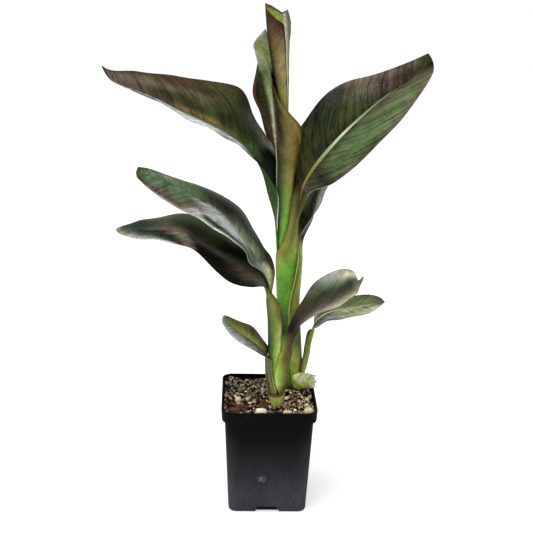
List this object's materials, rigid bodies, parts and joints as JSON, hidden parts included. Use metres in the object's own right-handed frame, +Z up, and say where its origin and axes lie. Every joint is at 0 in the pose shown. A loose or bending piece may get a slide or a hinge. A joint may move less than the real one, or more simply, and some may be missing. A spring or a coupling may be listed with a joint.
{
  "type": "potted canna plant",
  "caption": "Young dark-leaved canna with rolled centre leaves and spreading side leaves, growing from a creeping rootstock in a square tapered nursery pot.",
  "frame": {"origin": "centre of the pot's underside, on the surface that it stands on", "axes": "+Z up; the pot's four sides face along X and Y; -Y is the front, and the two shoots lean towards -X as they rise"},
  "size_m": [0.3319, 0.1192, 0.5343],
  "materials": {
    "pot_plastic": "satin black moulded plastic",
    "potting_mix": "rough, granular",
    "rhizome": "fleshy, matte",
    "stem": "smooth, slightly waxy",
    "leaf": "satin leaf",
    "young_leaf": "satin young leaf",
    "perlite": "rough",
    "bark": "rough"
  },
  "bodies": {
    "root": {"nursery_pot": "pot_plastic", "potting_mix": "potting_mix", "rhizome": "rhizome", "main_stem": "stem", "front_stem": "stem", "upper_left_leaf": "leaf", "upper_right_leaf": "leaf", "middle_left_leaf": "leaf", "lower_left_leaf": "leaf", "small_left_leaf": "leaf", "folded_right_leaf": "leaf", "small_right_leaf": "leaf", "back_right_leaf": "leaf", "clasping_leaf": "young_leaf", "half_rolled_leaf": "young_leaf", "spear_leaf": "young_leaf", "cut_leaf_stub": "stem", "perlite_front": "perlite", "perlite_left": "perlite", "perlite_left_small": "perlite", "perlite_front_right": "perlite", "perlite_right": "perlite", "bark_chip_middle": "bark", "bark_chip_left": "bark"}
  },
  "joints": []
}
